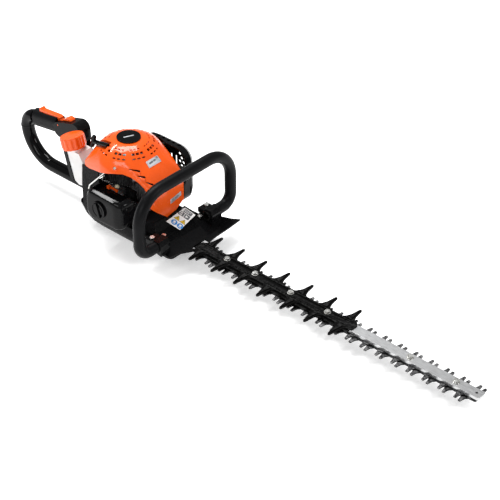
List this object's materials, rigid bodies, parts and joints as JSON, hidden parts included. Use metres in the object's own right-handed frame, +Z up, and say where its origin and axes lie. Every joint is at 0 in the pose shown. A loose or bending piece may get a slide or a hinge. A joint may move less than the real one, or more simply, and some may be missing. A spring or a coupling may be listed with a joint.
{
  "type": "hedge trimmer",
  "caption": "Petrol hedge trimmer: two-stroke engine under a vented dome, D-loop front handle, rear trigger handle, hand shield and a long double-sided reciprocating blade.",
  "frame": {"origin": "centre of the bounding box in plan, on the ground plane under the base", "axes": "+X forward along the blades, +Y to the operator's left, +Z up"},
  "size_m": [1.1806, 0.28, 0.212],
  "materials": {
    "orange_plastic": "glossy injection-moulded orange nylon",
    "black_gloss": "glossy black glass-filled nylon",
    "black_matte": "fine-grained black nylon",
    "grip_rubber": "soft dark grey rubber",
    "tank_plastic": "milky translucent polyethylene",
    "bar_steel": "ground bright steel",
    "blade_steel": "dark blued steel with ground edges",
    "guard_black": "black enamelled steel",
    "zinc_steel": "bright zinc-plated steel",
    "cast_alloy": "die-cast alloy",
    "dark_alloy": "black-coated die-cast alloy",
    "machined_steel": "turned and ground steel",
    "label_white": "printed vinyl label",
    "label_silver": "silver foil label",
    "exhaust_steel": "heat-tinted pressed steel",
    "porcelain": "white glazed ceramic",
    "filter_felt": "pleated filter felt",
    "rope_nylon": "braided nylon rope",
    "primer_plastic": "soft translucent bulb",
    "clutch_lining": "sintered clutch shoe",
    "black_rubber": "black moulded rubber"
  },
  "bodies": {
    "machine": {"engine_cover": "orange_plastic", "starter_badge": "black_gloss", "cover_labels": "label_silver", "fan_housing": "black_matte", "recoil_spring": "machined_steel", "ignition_coil": "black_matte", "plug_cap": "black_rubber", "spark_plug": "porcelain", "cylinder": "cast_alloy", "crankcase": "cast_alloy", "crank_bearings": "machined_steel", "intake_block": "black_matte", "carburetor": "cast_alloy", "throttle_cable": "zinc_steel", "air_filter_base": "black_matte", "air_filter_element": "filter_felt", "air_filter_cover": "black_gloss", "muffler": "exhaust_steel", "muffler_guard": "black_gloss", "gear_bearings": "machined_steel", "gear_case": "dark_alloy", "gear_case_cover": "dark_alloy", "base_housing": "black_matte", "guide_bar": "bar_steel", "blade_guard": "guard_black", "blade_bolts": "zinc_steel", "blade_nuts": "zinc_steel", "hand_shield": "black_gloss", "warning_label": "label_white", "front_handle": "guard_black", "front_grip": "grip_rubber", "handle_clamps": "black_gloss", "case_screws": "zinc_steel", "fuel_tank": "tank_plastic", "fuel_line": "primer_plastic", "rear_handle": "black_gloss", "rear_grip": "grip_rubber"},
    "crank": {"upper_crank_half": "machined_steel", "lower_crank_half": "machined_steel", "flywheel": "cast_alloy", "clutch_shoes": "clutch_lining", "clutch_drum": "machined_steel"},
    "cam_gear": {"drive_gear": "machined_steel"},
    "top_blade": {"upper_blade": "blade_steel"},
    "bottom_blade": {"lower_blade": "blade_steel"},
    "piston_set": {"piston": "cast_alloy", "piston_pin": "machined_steel", "connecting_rod": "machined_steel", "crank_pin": "machined_steel"},
    "trigger": {"throttle_trigger": "black_gloss"},
    "carb_lever": {"throttle_lever": "zinc_steel"},
    "lockout": {"trigger_lockout": "orange_plastic"},
    "switch": {"stop_switch": "orange_plastic"},
    "choke": {"choke_lever": "orange_plastic"},
    "primer": {"primer_bulb": "primer_plastic"},
    "pull_grip": {"starter_grip": "black_gloss"},
    "recoil": {"starter_pulley": "porcelain", "starter_rope": "rope_nylon"},
    "tank_cap": {"fuel_cap": "orange_plastic"},
    "filter_lock": {"filter_knob": "black_gloss"}
  },
  "joints": [
    {"name": "crank_spin", "type": "hinge", "parent": "machine", "child": "crank", "pos_m": [-0.272, 0, 0.107], "axis": [0, 0, 1], "continuous": true},
    {"name": "cam_gear_spin", "type": "hinge", "parent": "machine", "child": "cam_gear", "pos_m": [-0.22825, 0, 0.042], "axis": [0, 0, 1], "continuous": true},
    {"name": "top_blade_slide", "type": "slide", "parent": "machine", "child": "top_blade", "axis": [1, 0, 0], "range_m": [-0.00375, 0.01375]},
    {"name": "bottom_blade_slide", "type": "slide", "parent": "machine", "child": "bottom_blade", "axis": [1, 0, 0], "range_m": [-0.01375, 0.00375]},
    {"name": "piston_slide", "type": "slide", "parent": "machine", "child": "piston_set", "axis": [1, 0, 0], "range_m": [-0.026, 0]},
    {"name": "trigger_squeeze", "type": "hinge", "parent": "machine", "child": "trigger", "pos_m": [-0.43, 0, 0.156], "axis": [0, 1, 0], "range_deg": [0, 12], "stiffness_Nm_per_rad": 1.2, "springref_deg": -8.59},
    {"name": "carb_lever_turn", "type": "hinge", "parent": "machine", "child": "carb_lever", "pos_m": [-0.2725, -0.046, 0.119], "axis": [0, 0, 1], "range_deg": [0, 30]},
    {"name": "lockout_press", "type": "hinge", "parent": "machine", "child": "lockout", "pos_m": [-0.464, 0, 0.167], "axis": [0, -1, 0], "range_deg": [0, 4], "stiffness_Nm_per_rad": 1, "springref_deg": -5.73},
    {"name": "switch_slide", "type": "slide", "parent": "machine", "child": "switch", "axis": [0.959, 0, 0.2833], "range_m": [0, 0.005]},
    {"name": "choke_swing", "type": "hinge", "parent": "machine", "child": "choke", "pos_m": [-0.253, -0.057, 0.1206], "axis": [0, 1, 0], "range_deg": [0, 40]},
    {"name": "primer_press", "type": "slide", "parent": "machine", "child": "primer", "axis": [0, 0, -1], "range_m": [0, 0.003], "stiffness_N_per_m": 1500, "springref_m": -0.0005},
    {"name": "starter_pull", "type": "slide", "parent": "machine", "child": "pull_grip", "axis": [0, 0, 1], "range_m": [0, 0.4], "stiffness_N_per_m": 25, "springref_m": -0.1},
    {"name": "recoil_spin", "type": "hinge", "parent": "machine", "child": "recoil", "pos_m": [-0.272, 0, 0.171], "axis": [0, 0, 1], "range_deg": [-5, 1080]},
    {"name": "cap_turn", "type": "hinge", "parent": "machine", "child": "tank_cap", "pos_m": [-0.384, -0.041, 0.15], "axis": [-0.2756, 0, 0.9613], "range_deg": [0, 120]},
    {"name": "filter_knob_turn", "type": "hinge", "parent": "machine", "child": "filter_lock", "pos_m": [-0.26, -0.104, 0.094], "axis": [0, -1, 0], "range_deg": [0, 90]}
  ],
  "couplings": [
    {"joint": "cam_gear_spin", "follows": "crank_spin", "ratio": -0.25},
    {"joint": "bottom_blade_slide", "follows": "top_blade_slide", "ratio": -1},
    {"joint": "carb_lever_turn", "follows": "trigger_squeeze", "ratio": 2.5},
    {"joint": "recoil_spin", "follows": "starter_pull", "rad_per_m": 47}
  ]
}
